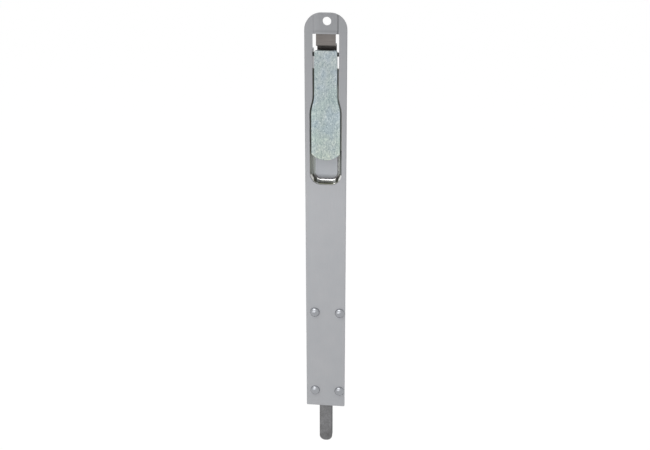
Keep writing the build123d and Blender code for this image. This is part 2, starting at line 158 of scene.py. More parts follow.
class Graph:
    """A material's node tree, with the few nodes that the finishes share."""

    def __init__(self, name: str) -> None:
        """Make a material and keep its tree and its surface shader.

        Args:
            name: The material's name.
        """
        self.material = bpy.data.materials.new(name)
        self.material.use_nodes = True
        self.tree = self.material.node_tree
        self.shader = self.tree.nodes["Principled BSDF"]
        self.place = self.add("ShaderNodeTexCoord").outputs["Object"]

    def add(self, kind: str) -> bpy.types.Node:
        """Add a node of the given kind."""
        return self.tree.nodes.new(kind)

    def link(self, source: Socket, target: Socket) -> None:
        """Join two sockets."""
        self.tree.links.new(source, target)

    def noise(
        self, size: float, grain: Grain = Grain.EVEN, detail: float = 2.0, swirl: float = 0.0
    ) -> Socket:
        """Soft noise whose patches are about the given size.

        Args:
            size: Size of a patch in metres.
            grain: Direction of the grain.
            detail: How many finer layers the noise has.
            swirl: How much the noise is twisted.

        Returns:
            The noise value, from 0 to 1.
        """
        mapping = self.add("ShaderNodeMapping")
        mapping.inputs["Scale"].default_value = grain.value
        self.link(self.place, mapping.inputs["Vector"])
        node = self.add("ShaderNodeTexNoise")
        node.inputs["Scale"].default_value = 1 / size
        node.inputs["Detail"].default_value = detail
        node.inputs["Distortion"].default_value = swirl
        self.link(mapping.outputs["Vector"], node.inputs["Vector"])
        return node.outputs["Fac"]

    def blend(self, first: Socket, second: Socket, share: float) -> Socket:
        """Blend two values.

        Args:
            first: The first value.
            second: The second value.
            share: Share of the second, from 0 to 1.

        Returns:
            The blend.
        """
        node = self.add("ShaderNodeMix")
        node.inputs[0].default_value = share
        self.link(first, node.inputs[2])
        self.link(second, node.inputs[3])
        return node.outputs[0]

    def remap(
        self,
        value: Socket,
        low: float,
        high: float,
        start: float = NOISE_LOW,
        end: float = NOISE_HIGH,
    ) -> Socket:
        """Stretch part of a value's range onto another range, and clamp it there.

        Args:
            value: The value.
            low: What start becomes.
            high: What end becomes.
            start: Where the part begins.
            end: Where the part ends.

        Returns:
            The stretched value.
        """
        node = self.add("ShaderNodeMapRange")
        node.inputs["From Min"].default_value = start
        node.inputs["From Max"].default_value = end
        node.inputs["To Min"].default_value = low
        node.inputs["To Max"].default_value = high
        self.link(value, node.inputs["Value"])
        return node.outputs["Result"]

    def ramp(
        self,
        value: Socket,
        tones: tuple[Colour, ...],
        start: float = NOISE_LOW,
        end: float = NOISE_HIGH,
    ) -> Socket:
        """Even colour ramp, from the first colour at start to the last at end."""
        places = np.linspace(start, end, len(tones))
        return self.bands(value, tuple(zip(places, tones)))

    def bands(self, value: Socket, marks: tuple[tuple[float, Colour], ...]) -> Socket:
        """Colour ramp with its colours at given places.

        Args:
            value: What picks the colour.
            marks: Each place on the ramp, from 0 to 1, and the colour there.

        Returns:
            The colour.
        """
        node = self.add("ShaderNodeValToRGB")
        stops = node.color_ramp.elements
        while len(stops) < len(marks):
            stops.new(0.5)
        while len(stops) > len(marks):
            stops.remove(stops[-1])
        for stop, (place, tone) in zip(stops, marks):
            stop.position = float(place)
            stop.color = (*tone, 1.0)
        self.link(value, node.inputs["Fac"])
        return node.outputs["Color"]

    def mix(self, first: Socket, second: Socket, share: Socket | None = None) -> Socket:
        """Multiply two colours, or mix them where a share is given.

        Args:
            first: The first colour.
            second: The second colour.
            share: Share of the second, or None to multiply.

        Returns:
            The colour.
        """
        node = self.add("ShaderNodeMix")
        node.data_type = "RGBA"
        node.blend_type = "MULTIPLY" if share is None else "MIX"
        node.inputs[0].default_value = 1.0
        if share is not None:
            self.link(share, node.inputs[0])
        self.link(first, node.inputs[6])
        self.link(second, node.inputs[7])
        return node.outputs[2]

    def product(self, first: Socket, second: Socket) -> Socket:
        """Multiply two values.

        Args:
            first: The first value.
            second: The second value.

        Returns:
            Their product.
        """
        node = self.add("ShaderNodeMath")
        node.operation = "MULTIPLY"
        self.link(first, node.inputs[0])
        self.link(second, node.inputs[1])
        return node.outputs[0]

    def distance(self, axis: Axis, mirrored: bool = False) -> Socket:
        """An object coordinate.

        Args:
            axis: Which coordinate.
            mirrored: Whether it loses its sign.

        Returns:
            The coordinate in metres.
        """
        node = self.add("ShaderNodeSeparateXYZ")
        self.link(self.place, node.inputs["Vector"])
        value = node.outputs[axis.value]
        if not mirrored:
            return value
        size = self.add("ShaderNodeMath")
        size.operation = "ABSOLUTE"
        self.link(value, size.inputs[0])
        return size.outputs[0]

    def within(self, limits: tuple[Limit, ...]) -> Socket:
        """How far a point lies within some limits.

        Args:
            limits: At least one limit.

        Returns:
            The product of its shares, from 0 outside to 1 inside.
        """
        places = [self.distance(limit.axis, limit.mirrored) for limit in limits]
        shares = [self.remap(p, 0.0, 1.0, m.out, m.inside) for p, m in zip(places, limits)]
        return reduce(self.product, shares)

    def bump(self, value: Socket, relief: float) -> Socket:
        """Bump that follows a value.

        Args:
            value: The value, from 0 to 1.
            relief: Height of the bump in metres.

        Returns:
            The normal.
        """
        node = self.add("ShaderNodeBump")
        node.inputs["Strength"].default_value = 1.0
        node.inputs["Distance"].default_value = relief
        self.link(value, node.inputs["Height"])
        return node.outputs["Normal"]


@dataclass(frozen=True)
class Limit:
    """Where part of a finish ends along one axis: nothing at out, all of it at inside."""

    axis: Axis
    out: float
    inside: float
    mirrored: bool = False


@dataclass(frozen=True)
class Shade:
    """A gradual change of a finish's colour along one axis; in this script most are painted light
    or shade.

    Where it has limits, it holds only within them.
    """

    axis: Axis
    start: float
    end: float
    share: float
    mirrored: bool = False
    limits: tuple[Limit, ...] = ()

    def apply(self, graph: Graph, colour: Socket) -> Socket:
        """Fade a colour to the share of itself, from the start of the shade to its end.

        Args:
            graph: The material's nodes.
            colour: The colour before.

        Returns:
            The shaded colour.
        """
        place = graph.distance(self.axis, self.mirrored)
        faded = graph.mix(colour, graph.remap(place, 1.0, self.share, self.start, self.end))
        return graph.mix(colour, faded, graph.within(self.limits)) if self.limits else faded


@dataclass(frozen=True, kw_only=True)
class Look(ABC):
    """What every finish has: metal, roughness, relief, clear coat and shades of its colour."""

    name: str
    metallic: float
    roughness: float
    roughness_spread: float = 0.06
    relief: float = 0.006 * MM
    coat: float = 0.0
    shades: tuple[Shade, ...] = ()

    @abstractmethod
    def pattern(self, graph: Graph) -> Pattern:
        """The pattern's colour, what the roughness follows and what the relief follows."""

    def build(self) -> bpy.types.Material:
        """Make the material's nodes: the pattern, the shades over its colour, and the surface.

        Returns:
            The finished material.
        """
        graph = Graph(self.name)
        graph.shader.inputs["Metallic"].default_value = self.metallic
        graph.shader.inputs["Coat Weight"].default_value = self.coat
        colour, gloss, height = self.pattern(graph)
        for shade in self.shades:
            colour = shade.apply(graph, colour)
        low, high = self.roughness - self.roughness_spread, self.roughness + self.roughness_spread
        graph.link(colour, graph.shader.inputs["Base Color"])
        graph.link(graph.remap(gloss, low, high), graph.shader.inputs["Roughness"])
        graph.link(graph.bump(height, self.relief), graph.shader.inputs["Normal"])
        return graph.material


@dataclass(frozen=True, kw_only=True)
class Finish(Look):
    """A metal or coat whose fine pattern comes from noise on object coordinates.

    The colour runs from dark to light with a cloud of large soft patches and a grain of fine
    ones. Roughness follows the same tone, and the grain gives it a low relief.
    """

    dark: Colour
    light: Colour
    cloud_size: float = 14 * MM
    cloud_share: float = 0.5
    grain_size: float = 0.5 * MM
    grain_detail: float = 3.0
    grain: Grain = Grain.EVEN

    def pattern(self, graph: Graph) -> Pattern:
        """Blend the cloud with the grain.

        Args:
            graph: The material's nodes.

        Returns:
            The colour, the blend for the roughness and the grain for the relief.
        """
        fine = graph.noise(self.grain_size, self.grain, detail=self.grain_detail)
        cloud = graph.noise(self.cloud_size)
        tone = graph.blend(fine, cloud, self.cloud_share)
        return graph.ramp(tone, (self.dark, self.light)), tone, fine


@dataclass(frozen=True, kw_only=True)
class SpangledZinc(Look):
    """Zinc coat whose crystals show as a fine speckle of blue, green and pale yellow greys.

    Two twisted noises make the speckle. Large soft patches tint it, and so does the height,
    from the yellowish finger end to the bluish pivot end.
    """

    tones: tuple[Colour, ...]
    tints: tuple[Colour, ...]
    height_tints: tuple[Colour, ...]
    low: float
    high: float
    crystal_size: float = 0.8 * MM
    speckle_size: float = 0.4 * MM
    speckle_share: float = 0.5
    speckle_span: tuple[float, float] = (0.36, 0.64)
    swirl: float = 0.5
    tint_size: float = 11 * MM
    tint_span: tuple[float, float] = (0.38, 0.62)
    metallic: float = 0.25
    roughness: float = 0.42
    roughness_spread: float = 0.1

    def pattern(self, graph: Graph) -> Pattern:
        """Blend crystals with a finer speckle, and tint the blend by patches and by height.

        Args:
            graph: The material's nodes.

        Returns:
            The colour, the crystals for the roughness and the blend for the relief.
        """
        crystals = graph.noise(self.crystal_size, Grain.STREAKY, detail=1.0, swirl=self.swirl)
        speckle = graph.noise(self.speckle_size, Grain.STREAKY, detail=2.0, swirl=self.swirl)
        tone = graph.blend(crystals, speckle, self.speckle_share)
        patches = graph.noise(self.tint_size, detail=1.0)
        height = graph.remap(graph.distance(Axis.HEIGHT), 0.0, 1.0, self.low, self.high)
        tint = graph.ramp(patches, self.tints, *self.tint_span)
        tint = graph.mix(tint, graph.ramp(height, self.height_tints, 0.0, 1.0))
        return graph.mix(graph.ramp(tone, self.tones, *self.speckle_span), tint), crystals, tone


@dataclass(frozen=True)
class Region:
    """Bands of colour that hold within some limits, and how metallic they are there."""

    bands: tuple[tuple[float, Colour], ...]
    limits: tuple[Limit, ...]
    metallic: float = 1.0


@dataclass(frozen=True, kw_only=True)
class PressedSteel(Look):
    """Bright drawn steel, with darker and lighter bands round the wall that are painted reflections
    and painted shade.

    The bands follow the depth behind the plate, as a share of the wall's depth. Each region lays
    its own bands over those before it.
    """

    side_bands: tuple[tuple[float, Colour], ...]
    regions: tuple[Region, ...]
    depth: float
    cloud_size: float = 2.5 * MM
    waver: float = 0.08
    metallic: float = 1.0
    roughness: float = 0.16
    roughness_spread: float = 0.03
    relief: float = 0.02 * MM

    def pattern(self, graph: Graph) -> Pattern:
        """Lay the bands and the regions, and take the metal off where a region is less metallic.

        Args:
            graph: The material's nodes.

        Returns:
            The colour, and the cloud for both the roughness and the relief.
        """
        cloud = graph.noise(self.cloud_size)
        deep = graph.remap(graph.distance(Axis.DEPTH), 0.0, 1.0, 0.0, self.depth)
        deep = graph.blend(deep, cloud, self.waver)
        colour = graph.bands(deep, self.side_bands)
        metal = []
        for region in self.regions:
            share = graph.within(region.limits)
            colour = graph.mix(colour, graph.bands(deep, region.bands), share)
            if region.metallic < self.metallic:
                metal.append(graph.remap(share, self.metallic, region.metallic, 0.0, 1.0))
        graph.link(reduce(graph.product, metal), graph.shader.inputs["Metallic"])
        return colour, cloud, cloud


BAND_TOP = (Limit(Axis.DEPTH, -2.1 * MM, -2.5 * MM),)
BAND_SLOPE = (Limit(Axis.DEPTH, -2.04 * MM, -2.1 * MM), Limit(Axis.DEPTH, -2.59 * MM, -2.52 * MM))
PLATE_COAT = Finish(
    name="plate_coat",
    dark=linear(172, 174, 178),
    light=linear(180, 181, 184),
    metallic=0.15,
    roughness=0.46,
    grain=Grain.ALONG,
    coat=0.1,
    shades=(
        # Painted shade: the coat darkens upwards from 20 mm to 150 mm, in place of the plate's
        # dimmer reflection near its top.
        Shade(Axis.HEIGHT, 20 * MM, 75 * MM, 0.81),
        Shade(Axis.HEIGHT, 75 * MM, 150 * MM, 0.87),
        # Painted shade: the raised band at the top is darker still.
        Shade(Axis.DEPTH, -2.1 * MM, -2.5 * MM, 0.9),
        # Painted shade: a dark stripe on the band's right slope, which faces away from the lamps.
        Shade(Axis.SIDE, 8.0 * MM, 8.2 * MM, 0.66, limits=BAND_SLOPE),
        # Painted light: the left part of the band is lighter, as light from the left makes it.
        Shade(Axis.SIDE, -3.0 * MM, -8.0 * MM, 1.14, limits=BAND_TOP),
        # Painted shade: a faint dark line across the band just above its lower lip.
        Shade(Axis.HEIGHT, 143.6 * MM, 142.6 * MM, 0.87, limits=BAND_TOP),
        # Painted highlight: a light line along the band's lower lip, where it meets the leaf.
        Shade(
            Axis.HEIGHT,
            141.8 * MM,
            141.2 * MM,
            1.26,
            limits=(*BAND_TOP, Limit(Axis.SIDE, 7.4 * MM, 7.0 * MM, mirrored=True)),
        ),
    ),
)
LEVER_ZINC = SpangledZinc(
    name="lever_spangle",
    tones=(
        linear(116, 132, 137),
        linear(157, 170, 173),
        linear(167, 179, 181),
        linear(203, 211, 209),
    ),
    tints=((0.96, 0.98, 1.04), (1.0, 1.0, 1.0), (0.98, 1.01, 0.98)),
    height_tints=((1.2, 1.15, 1.02), (1.03, 1.04, 1.0), (1.0, 1.0, 1.0), (1.03, 1.0, 0.98)),
    low=43 * MM,
    high=130 * MM,
    shades=(
        # Painted highlight: both margins of the lever are lighter, from the neck's edges out to the
        # grip's edges, as side light would make them.
        Shade(Axis.SIDE, 5.6 * MM, 8.0 * MM, 1.08, mirrored=True),
        Shade(Axis.SIDE, 8.4 * MM, 10.2 * MM, 1.08, mirrored=True),
    ),
)
RIGHT_SIDE = Limit(Axis.SIDE, 0.0, 1.0 * MM)
UPPER_WALLS = Limit(Axis.HEIGHT, 54 * MM, 57 * MM)
CUP_END = Limit(Axis.HEIGHT, 37 * MM, 35.5 * MM)
END_MIDDLE = Limit(Axis.SIDE, 7.0 * MM, 6.6 * MM, mirrored=True)
SHEET_FRONT = Limit(Axis.DEPTH, 4.4 * MM, 3.9 * MM)
# Colours of the painted reflections and painted shade in the cup: a pale olive band, the white of a
# reflected lamp and a dark shadow line.
OLIVE_PALE = linear(248, 248, 228)
PAINTED_REFLECTION_WHITE = linear(246, 246, 242)
END_SHADOW = linear(80, 79, 82)
CUP_BRIGHT = PressedSteel(
    name="cup_bright",
    # Painted reflections round the walls: a dark lip, made lighter to offset the shade it lies in
    # beside the lever, a light middle band and a darker foot.
    side_bands=(
        (0.04, linear(150, 152, 144)),
        (0.15, linear(152, 154, 146)),
        (0.32, linear(195, 197, 187)),
        (0.5, linear(208, 210, 200)),
        (0.63, linear(196, 198, 190)),
        (0.78, linear(180, 183, 176)),
        (0.89, linear(142, 146, 144)),
        (0.96, linear(138, 143, 141)),
    ),
    regions=(
        # Painted reflection on the right wall: a white band near the foot, and painted shade where
        # it meets the floor.
        Region(
            bands=(
                (0.04, linear(104, 106, 98)),
                (0.15, linear(108, 110, 102)),
                (0.4, linear(150, 152, 144)),
                (0.63, linear(180, 182, 173)),
                (0.78, linear(250, 251, 246)),
                (0.86, linear(235, 236, 232)),
                (0.92, linear(106, 106, 106)),
                (0.96, linear(62, 62, 62)),
            ),
            limits=(RIGHT_SIDE, SHEET_FRONT),
        ),
        # Painted light: the upper walls, seen in the slits beside the lever's neck, get a lighter,
        # less metallic colour against their shade; the right one lighter still.
        Region(
            bands=((0.0, linear(144, 146, 138)),),
            limits=(UPPER_WALLS, SHEET_FRONT),
            metallic=0.2,
        ),
        Region(
            bands=((0.0, linear(228, 230, 221)),),
            limits=(RIGHT_SIDE, UPPER_WALLS, SHEET_FRONT),
        ),
        # Painted reflection: the end wall's darker olive lens near the lip.
        Region(
            bands=(
                (0.04, linear(120, 120, 108)),
                (0.3, linear(110, 110, 98)),
                (0.96, linear(90, 88, 90)),
            ),
            limits=(CUP_END, SHEET_FRONT),
        ),
        # Painted reflection at the end wall: a dark lip, a pale olive band, the white band of a
        # reflected top lamp and a painted shadow line at the foot, here and just beside the middle.
        Region(
            bands=(
                (0.04, linear(76, 76, 64)),
                (0.16, linear(104, 104, 90)),
                (0.3, OLIVE_PALE),
                (0.53, OLIVE_PALE),
                (0.57, PAINTED_REFLECTION_WHITE),
                (0.87, PAINTED_REFLECTION_WHITE),
                (0.89, END_SHADOW),
            ),
            limits=(END_MIDDLE, CUP_END, SHEET_FRONT),
        ),
        Region(
            bands=(
                (0.08, linear(100, 100, 86)),
                (0.15, PAINTED_REFLECTION_WHITE),
                (0.88, PAINTED_REFLECTION_WHITE),
                (0.9, END_SHADOW),
            ),
            limits=(
                Limit(Axis.SIDE, 5.3 * MM, 5.8 * MM, mirrored=True),
                END_MIDDLE,
                Limit(Axis.HEIGHT, 36 * MM, 35 * MM),
            ),
        ),
        # Painted highlights: white blobs at the two lower corners of the walls, not metallic so
        # that they stay white.
        Region(
            bands=((0.0, PAINTED_REFLECTION_WHITE), (0.4, PAINTED_REFLECTION_WHITE), (0.5, linear(70, 70, 60))),
            limits=(
                Limit(Axis.SIDE, 8.8 * MM, 9.4 * MM, mirrored=True),
                Limit(Axis.HEIGHT, 37.4 * MM, 36.6 * MM),
            ),
            metallic=0.0,
        ),
    ),
    depth=4 * MM,
)
CUP_FLOOR = Finish(
    name="cup_floor",
    dark=linear(162, 166, 171),
    light=linear(176, 178, 182),
    metallic=0.3,
    roughness=0.4,
    # Painted shade: the floor darkens towards its foot at the end wall.
    shades=(Shade(Axis.HEIGHT, 36.8 * MM, 33.8 * MM, 0.42),),
)
CUP_BACK = Finish(
    name="cup_back",
    dark=linear(146, 148, 146),
    light=linear(176, 177, 174),
    metallic=0.8,
    roughness=0.32,
)
SPRING_BROWN = Finish(
    name="spring_brown",
    dark=linear(92, 88, 85),
    light=linear(121, 116, 113),
    metallic=0.6,
    roughness=0.42,
    grain=Grain.ACROSS,
    # Painted shade: the leaf darkens as it bends back behind the plate, where it lies in shadow.
    shades=(Shade(Axis.DEPTH, -0.4 * MM, 0.6 * MM, 0.55),),
)
BOLT_DRAWN = Finish(
    name="bolt_drawn",
    dark=linear(98, 98, 98),
    light=linear(140, 140, 142),
    metallic=0.55,
    roughness=0.4,
    cloud_size=5 * MM,
    grain=Grain.STREAKY,
    grain_size=0.7 * MM,
    relief=0.012 * MM,
    shades=(
        # Painted shade: both long edges of the bar are darker, where its rounded edges face away
        # from the lamps.
        Shade(Axis.SIDE, 4.1 * MM, 4.7 * MM, 0.72, mirrored=True),
        # Darker towards the tip.
        Shade(Axis.HEIGHT, -180 * MM, -187 * MM, 0.8),
    ),
)
RIVET_ZINC = Finish(
    name="rivet_zinc",
    dark=linear(148, 150, 154),
    light=linear(164, 166, 170),
    metallic=0.9,
    roughness=0.1,
    roughness_spread=0.02,
)
WORKS_ZINC = Finish(
    name="works_zinc",
    dark=linear(140, 143, 146),
    light=linear(172, 174, 176),
    metallic=0.7,
    roughness=0.38,
    cloud_share=0.4,
    grain_size=0.8 * MM,
)
PIN_STEEL = Finish(
    name="pin_steel",
    dark=linear(120, 121, 122),
    light=linear(150, 150, 150),
    metallic=0.9,
    roughness=0.28,
    grain=Grain.ACROSS,
)
PIVOT_BLACKED = Finish(
    name="pivot_blacked",
    dark=linear(56, 57, 56),
    light=linear(82, 83, 80),
    metallic=0.5,
    roughness=0.4,
    grain=Grain.ACROSS,
)
GUIDE_STEEL = Finish(
    name="guide_steel",
    dark=linear(122, 124, 128),
    light=linear(152, 154, 157),
    metallic=0.6,
    roughness=0.45,
    cloud_share=0.6,
    relief=0.015 * MM,
)


class Shop:
    """Hands out finished materials and puts dressed pieces on their bodies."""

    def __init__(self, frame: dict[str, Any]) -> None:
        """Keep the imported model.

        Args:
            frame: What the frame's load call returned.
        """
        self.nodes: dict[str, bpy.types.Object] = frame["nodes"]
        self.slots = {s["node"]: s["material_slot"] for s in frame["record"]["subparts"]}
        self.made: dict[str, bpy.types.Material] = {}

    def material(self, finish: Look) -> bpy.types.Material:
        """A finish's material, made once.

        Args:
            finish: The finish.

        Returns:
            Its material.
        """
        if finish.name not in self.made:
            self.made[finish.name] = finish.build()
        return self.made[finish.name]

    def settle(self, piece: bpy.types.Object, body: Body, *nodes: str) -> None:
        """Put a piece on its body, in place of the given nodes, and report it.

        Args:
            piece: The finished piece.
            body: The body that it moves with.
            nodes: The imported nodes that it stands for.
        """
        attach(piece, body.value)
        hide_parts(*nodes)
        LOG.info("%s rides on %s: %d faces", piece.name, body.value, len(piece.data.polygons))

    def dress(
        self, node: str, finish: Look, body: Body, edge: float = 0.15 * MM
    ) -> bpy.types.Object:
        """Copy a node, merge its triangles into clean faces and round its sharp edges.

        Args:
            node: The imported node.
            finish: Its finish.
            body: The body that it moves with.
            edge: Width of the rounding in metres.

        Returns:
            The dressed piece.
        """
        mesh = self.nodes[node].data.copy()
        mesh.name = f"{node}_dressed"
        work = bmesh.new()
        work.from_mesh(mesh)
        bmesh.ops.remove_doubles(work, verts=work.verts, dist=MERGE)
        bmesh.ops.dissolve_limit(
            work, angle_limit=FLAT_ANGLE, verts=work.verts, edges=work.edges
        )
        for face in work.faces:
            face.smooth = True
        work.to_mesh(mesh)
        work.free()
        mesh.materials.clear()
        mesh.materials.append(self.material(finish))
        piece = stand(f"{node}_piece", mesh)
        mesh.set_sharp_from_angle(angle=math.radians(SHARP_DEGREES))
        soften(piece, edge, SHARP_DEGREES)
        self.settle(piece, body, node)
        return piece


def stand(name: str, data: bpy.types.ID) -> bpy.types.Object:
    """Make an object of a mesh, a lamp or a camera, and put it in the scene.

    Args:
        name: The object's name.
        data: What it shows.

    Returns:
        The object.
    """
    thing = bpy.data.objects.new(name, data)
    bpy.context.scene.collection.objects.link(thing)
    return thing


def soften(piece: bpy.types.Object, edge: float, sharp: float) -> None:
    """Round a piece's sharp edges a little and keep its flats flat.

    Args:
        piece: The piece to change.
        edge: Width of the rounding in metres.
        sharp: Angle in degrees from which an edge counts as sharp.
    """
    bevel = piece.modifiers.new("edges", "BEVEL")
    bevel.width = edge
    bevel.segments = 2
    bevel.limit_method = "ANGLE"
    bevel.angle_limit = math.radians(sharp)
    bevel.harden_normals = True
    bevel.use_clamp_overlap = True


def grid_faces(rows: int, columns: int, closed: bool = False, first: int = 0) -> np.ndarray:
    """Quads that join a grid of points, row by row.

    Args:
        rows: Number of rows.
        columns: Number of points in a row.
        closed: Whether the last column joins the first.
        first: Index of the grid's first point.

    Returns:
        One row of four point indices for each quad.
    """
    index = np.arange(rows * columns).reshape(rows, columns) + first
    across = np.roll(index, -1, axis=1) if closed else index[:, 1:]
    here = index if closed else index[:, :-1]
    quads = np.stack([here[:-1], here[1:], across[1:], across[:-1]], axis=-1)
    return quads.reshape(-1, 4)


def shell(
    front: np.ndarray, back: np.ndarray, faces: list[np.ndarray], rims: list[np.ndarray]
) -> tuple[np.ndarray, list[np.ndarray]]:
    """Close two matching surfaces into one shell with strips along their rims.

    Args:
        front: Points of the front surface.
        back: Points of the back surface, one for each of the front's.
        faces: Faces of the front surface.
        rims: Chains of the front's points that run along its open rims.

    Returns:
        Points and faces of the shell.
    """
    count = len(front)
    turned = [face[::-1] + count for face in faces]
    strips = [np.stack([r[:-1], r[1:], r[1:] + count, r[:-1] + count], axis=-1) for r in rims]
    return np.concatenate([front, back]), [*faces, *turned, *np.concatenate(strips)]


def surface(
    name: str, points: np.ndarray, faces: Iterable[np.ndarray], material: bpy.types.Material
) -> bpy.types.Object:
    """Make a smooth mesh piece from points and faces, with its seams merged and faces outwards.

    Args:
        name: The piece's name.
        points: Points in metres, one per row.
        faces: Each face as its point indices.
        material: The piece's material.

    Returns:
        The piece, linked to the scene.
    """
    mesh = bpy.data.meshes.new(name)
    mesh.from_pydata(points.tolist(), [], [face.tolist() for face in faces])
    work = bmesh.new()
    work.from_mesh(mesh)
    bmesh.ops.remove_doubles(work, verts=work.verts, dist=SEAM_MERGE)
    bmesh.ops.dissolve_degenerate(work, edges=work.edges, dist=SEAM_MERGE / 2)
    bmesh.ops.recalc_face_normals(work, faces=work.faces)
    for face in work.faces:
        face.smooth = True
    work.to_mesh(mesh)
    work.free()
    mesh.materials.append(material)
    return stand(name, mesh)


def crowded(count: int) -> np.ndarray:
    """Values from -1 to 1 that lie closer at both ends: the sine of evenly spaced angles."""
    return np.sin(np.linspace(-math.pi / 2, math.pi / 2, count))


@dataclass(frozen=True)
class Shoulder:
    """Where the lever and its window widen from the neck to the grip."""

    top: float = 97.0 * MM
    bottom: float = 83.0 * MM

    def ease(self, z: np.ndarray) -> np.ndarray:
        """Share of the widening at each height: two parabolas that meet halfway, as two arcs do."""
        share = np.clip((self.top - z) / (self.top - self.bottom), 0, 1)
        return np.where(share < 0.5, 2 * share**2, 1 - 2 * (1 - share) ** 2)

    def levels(self, count: int) -> np.ndarray:
        """Evenly spaced heights from the top of the shoulder to its bottom."""
        return np.linspace(self.top, self.bottom, count)


SHOULDER = Shoulder()


@dataclass
class Lever:
    """Zinc-coated lever: narrow at its pivot, wide at the finger end, with softly rolled edges."""

    shop: Shop
    top_half: float = 8.05 * MM
    neck_half: float = 8.25 * MM
    top_corner: float = 1.1 * MM
    end_rise: float = 4.8 * MM
    end_corner: float = 1.2 * MM
    edge_roll: float = 0.45 * MM
    top_roll: float = 1.3 * MM
    rows: int = 220
    columns: int = 64
    sharp: float = 50.0
    low: float = field(init=False)
    top: float = field(init=False)
    grip_half: float = field(init=False)

    def half_width(self, z: np.ndarray) -> np.ndarray:
        """Half-width at each height.

        From the top to the shoulder it widens in a straight line, and over the shoulder it eases
        from the neck to the grip.

        Args:
            z: Heights in metres.

        Returns:
            The half-widths in metres.
        """
        neck_share = np.clip((self.top - z) / (self.top - SHOULDER.top), 0, 1)
        neck = self.top_half + (self.neck_half - self.top_half) * neck_share
        return neck + (self.grip_half - self.neck_half) * SHOULDER.ease(z)

    def start(self, across: np.ndarray) -> np.ndarray:
        """Height of the top end at each share across: level, with quarter rounds as corners."""
        share = 1 - (1 - np.abs(across)) * self.top_half / self.top_corner
        return self.top - self.top_corner * (1 - np.sqrt(1 - np.clip(share, 0, 1) ** 2))

    def end(self, across: np.ndarray) -> np.ndarray:
        """Height of the finger end at each share across.

        It is a wide arc, and near each side a small arc that touches both the wide one and the
        side. The small arc's centre lies one small radius inside the side, and the difference of
        the two radii from the wide arc's centre.

        Args:
            across: Shares from -1 to 1.

        Returns:
            The heights in metres.
        """
        x = np.abs(across) * self.grip_half
        wide = (self.grip_half**2 + self.end_rise**2) / (2 * self.end_rise)
        small = self.end_corner
        middle = self.grip_half - small
        level = self.low + wide - math.sqrt((wide - small) ** 2 - middle**2)
        corner = level - np.sqrt(np.clip(small**2 - (x - middle) ** 2, 0, None))
        arc = self.low + wide - np.sqrt(wide**2 - x**2)
        return np.where(x > middle * wide / (wide - small), corner, arc)

    def build(self) -> bpy.types.Object:
        """Build the lever as one closed shell.

        A point at share u across and v along lies at the height start + (end - start) times v,
        and at x = u times the half-width there. The front sinks near the outline by a quarter
        round, and the back is flat.

        Returns:
            The lever piece.
        """
        low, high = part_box("lever")
        self.low, self.top, self.grip_half = low.z, high.z, high.x
        u, v = np.meshgrid(crowded(self.columns), (1 + crowded(self.rows)) / 2)
        start, end = self.start(u), self.end(u)
        z = start + (end - start) * v
        x = u * self.half_width(z)
        side = self.half_width(z) - np.abs(x)
        sink = self.round_over(np.minimum(side, z - end), self.edge_roll)
        sink = np.maximum(sink, self.round_over(start - z, self.top_roll))
        front = np.stack([x, low.y + sink, z], axis=-1).reshape(-1, 3)
        back = np.stack([x, np.full_like(x, high.y), z], axis=-1).reshape(-1, 3)
        faces = np.concatenate(
            [
                grid_faces(self.rows, self.columns),
                grid_faces(self.rows, self.columns, first=len(front))[:, ::-1],
                self.skirt(),
            ]
        )
        points = np.concatenate([front, back])
        piece = surface("lever_face", points, faces, self.shop.material(LEVER_ZINC))
        piece.data.set_sharp_from_angle(angle=math.radians(self.sharp))
        self.shop.settle(piece, Body.HANDLE, "lever")
        return piece

    def round_over(self, inside: np.ndarray, radius: float) -> np.ndarray:
        """Depth of a quarter round of the given radius at a distance inside the outline."""
        share = 1 - np.clip(inside / radius, 0, 1)
        return radius * (1 - np.sqrt(np.clip(1 - share**2, 0, 1)))

    def skirt(self) -> np.ndarray:
        """Quads between the rims of the front and the back, once round the outline.

        Returns:
            One row of four point indices for each quad.
        """
        index = np.arange(self.rows * self.columns).reshape(self.rows, self.columns)
        ring = np.concatenate([index[0, :-1], index[:-1, -1], index[-1, :0:-1], index[:0:-1, 0]])
        after = np.roll(ring, -1)
        count = self.rows * self.columns
        return np.stack([ring, after, after + count, ring + count], axis=-1)


class CupSide(Enum):
    """The parts of the cup's surface, by the order of their materials."""

    WALL = 0
    FLOOR = 1
    BACK = 2


